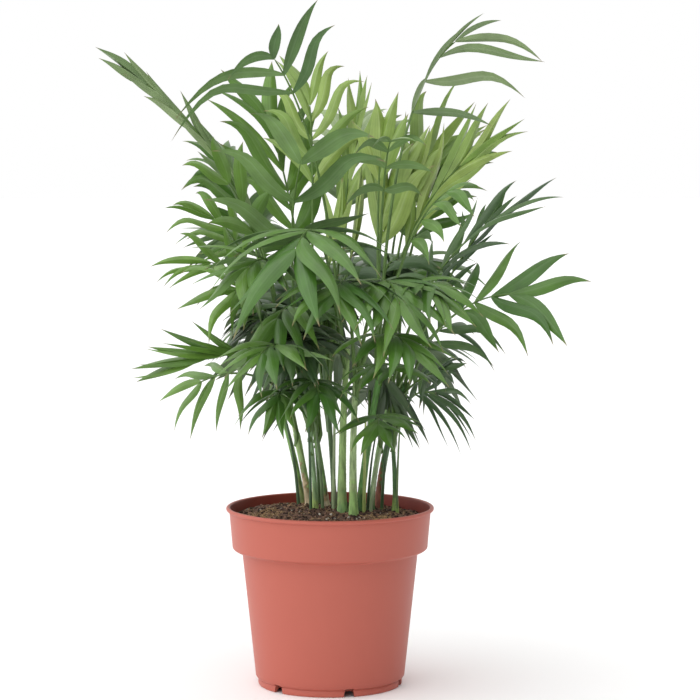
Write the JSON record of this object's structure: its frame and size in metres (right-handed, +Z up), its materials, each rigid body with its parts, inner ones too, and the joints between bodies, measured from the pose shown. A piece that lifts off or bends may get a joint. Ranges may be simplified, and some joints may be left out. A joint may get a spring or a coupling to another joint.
{
  "type": "potted parlour palm",
  "caption": "Small multi-stemmed parlour palm with arching feather fronds, standing in a round plastic nursery pot filled with growing mix.",
  "frame": {"origin": "centre of the pot's underside, where it meets the ground", "axes": "+Z up the plant, -Y towards the front, +X to the right seen from the front"},
  "size_m": [0.2802, 0.2524, 0.3953],
  "materials": {
    "pot": "satin moulded plastic in terracotta",
    "soil": "loose dark growing mix",
    "stem": "smooth green cane with ring scars",
    "frond": "thin satin leaf"
  },
  "bodies": {
    "root": {"pot": "pot", "soil": "soil", "stem_back_left": "stem", "stem_left": "stem", "stem_left_slim": "stem", "stem_pale_foot": "stem", "stem_rear": "stem", "stem_front_left": "stem", "stem_front_right": "stem", "stem_middle_right": "stem", "stem_right": "stem", "stem_brown": "stem", "stem_far_right": "stem", "frond_top_centre": "frond", "frond_top_left": "frond", "frond_top_right": "frond", "frond_back_bright": "frond", "frond_back_centre": "frond", "frond_back_left_top": "frond", "frond_back_left_wide": "frond", "frond_left_high": "frond", "frond_front_star": "frond", "frond_front_upper": "frond", "frond_front_left": "frond", "frond_front_right_middle": "frond", "frond_front_low": "frond", "frond_right_upper_light": "frond", "frond_right_upper_front": "frond", "frond_right_high_dark": "frond", "frond_right_far": "frond", "frond_right_middle_dark": "frond", "frond_right_low_arch": "frond", "frond_low_right_fan": "frond", "frond_low_right_second": "frond", "frond_low_front_right": "frond", "frond_low_front_leaf": "frond", "frond_left_middle_high": "frond", "frond_left_middle": "frond", "frond_left_middle_low": "frond", "frond_low_left": "frond", "frond_low_left_droop": "frond", "frond_low_left_centre": "frond", "frond_low_centre_front": "frond", "frond_back_low_left": "frond", "frond_back_middle_left": "frond", "frond_back_middle": "frond", "frond_back_low": "frond", "frond_back_middle_right": "frond", "frond_back_low_right": "frond", "frond_back_high": "frond", "frond_right_back_high": "frond", "frond_left_back_high": "frond", "frond_front_left_low": "frond", "frond_front_right_low": "frond", "frond_front_high": "frond", "frond_centre_left": "frond", "frond_right_front": "frond", "frond_back_inner": "frond", "frond_low_back_left": "frond", "frond_low_back_right": "frond"}
  },
  "joints": []
}
